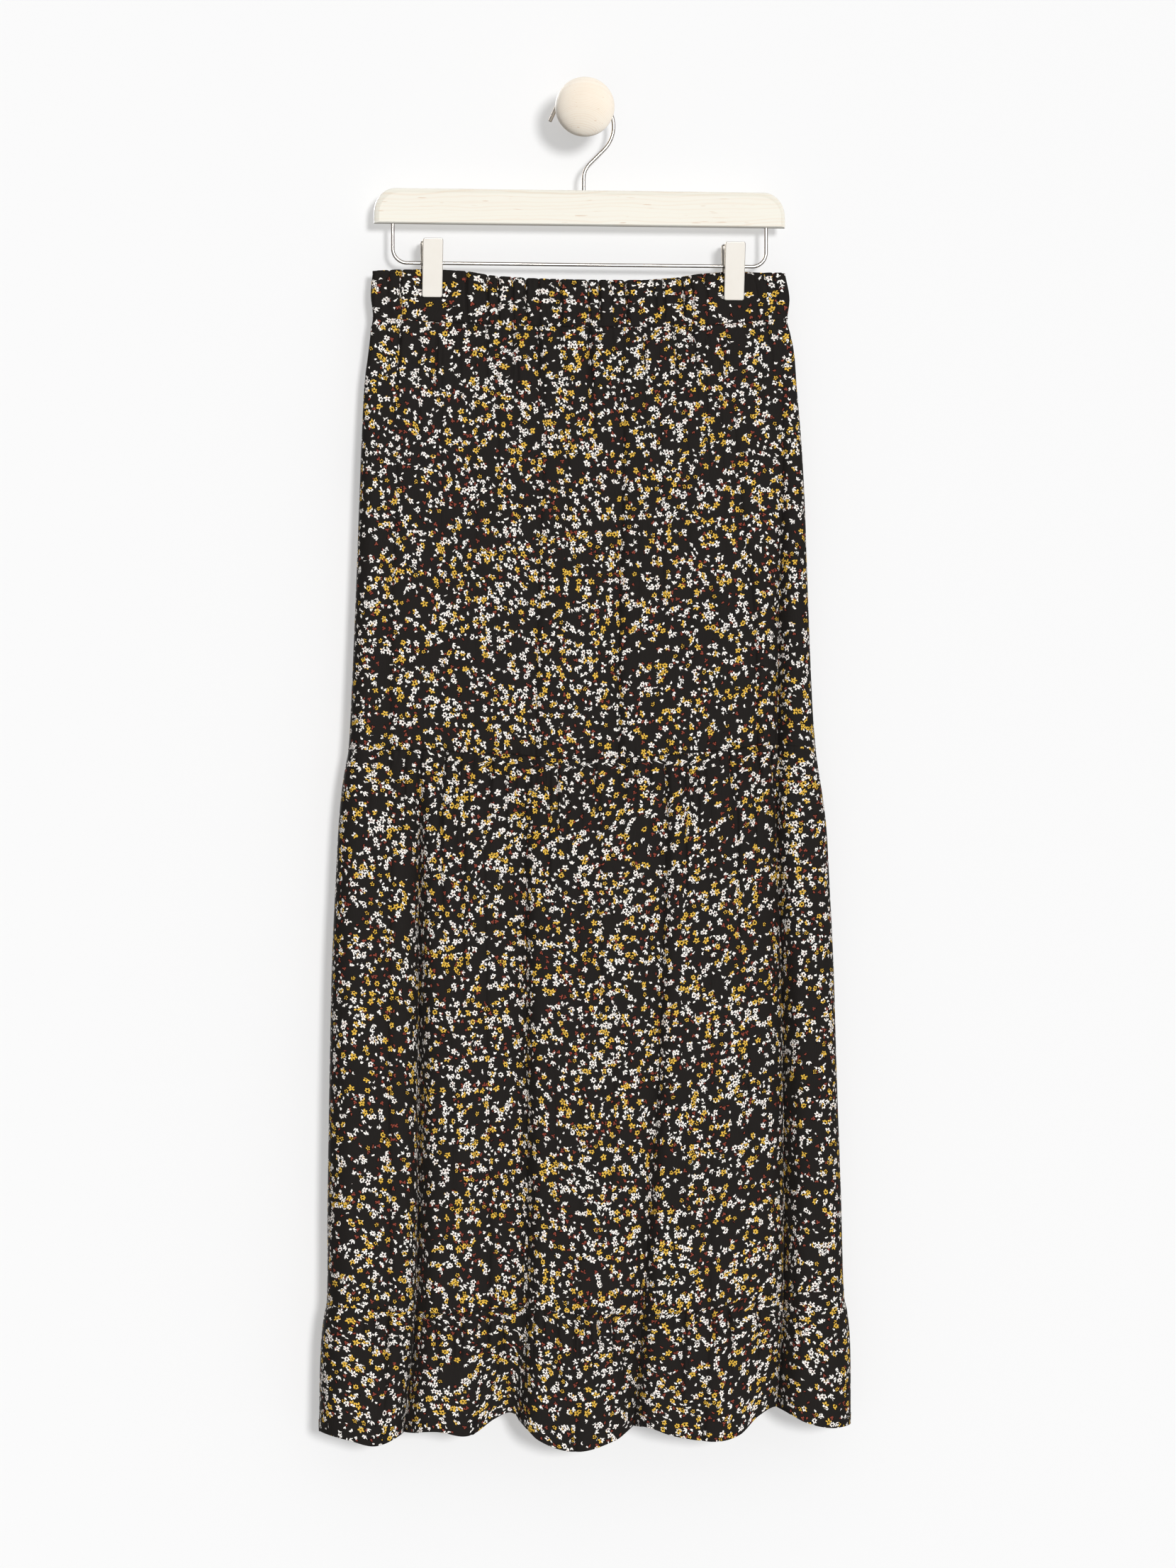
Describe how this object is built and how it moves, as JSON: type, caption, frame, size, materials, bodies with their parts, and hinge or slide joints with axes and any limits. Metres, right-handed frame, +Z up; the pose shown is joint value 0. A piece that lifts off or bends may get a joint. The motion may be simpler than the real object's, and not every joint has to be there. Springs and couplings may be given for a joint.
{
  "type": "maxi skirt on a clip hanger and wall knob",
  "caption": "Tiered maxi skirt with a gathered elastic waistband and a flounce, clipped to a wooden hanger that hangs by its hook from a ball wall knob.",
  "frame": {"origin": "centre of the knob's flat back, on the wall", "axes": "+Z up, the wall is the plane y = 0, the skirt's front faces -Y and +X is to the right seen from the front"},
  "size_m": [0.4515, 0.0847, 1.1543],
  "materials": {
    "printed_cloth": "woven viscose, black ground with a small scattered flower print in cream, mustard and rust",
    "bar_wood": "pale maple, sanded, clear matt lacquer",
    "knob_wood": "pale maple, turned and sanded, bare",
    "steel_wire": "bright plated wire",
    "clip_metal": "pressed sheet, satin nickel plate"
  },
  "bodies": {
    "root": {"waistband_front": "printed_cloth", "waistband_back": "printed_cloth", "tier_1_front": "printed_cloth", "tier_1_back": "printed_cloth", "tier_2_front": "printed_cloth", "tier_2_back": "printed_cloth", "flounce_front": "printed_cloth", "flounce_back": "printed_cloth", "hanger_bar": "bar_wood", "hanger_hook": "steel_wire", "clip_rod": "steel_wire", "clip_left_front": "clip_metal", "clip_left_back": "clip_metal", "clip_left_spring": "steel_wire", "clip_right_front": "clip_metal", "clip_right_back": "clip_metal", "clip_right_spring": "steel_wire", "wall_knob": "knob_wood"}
  },
  "joints": []
}
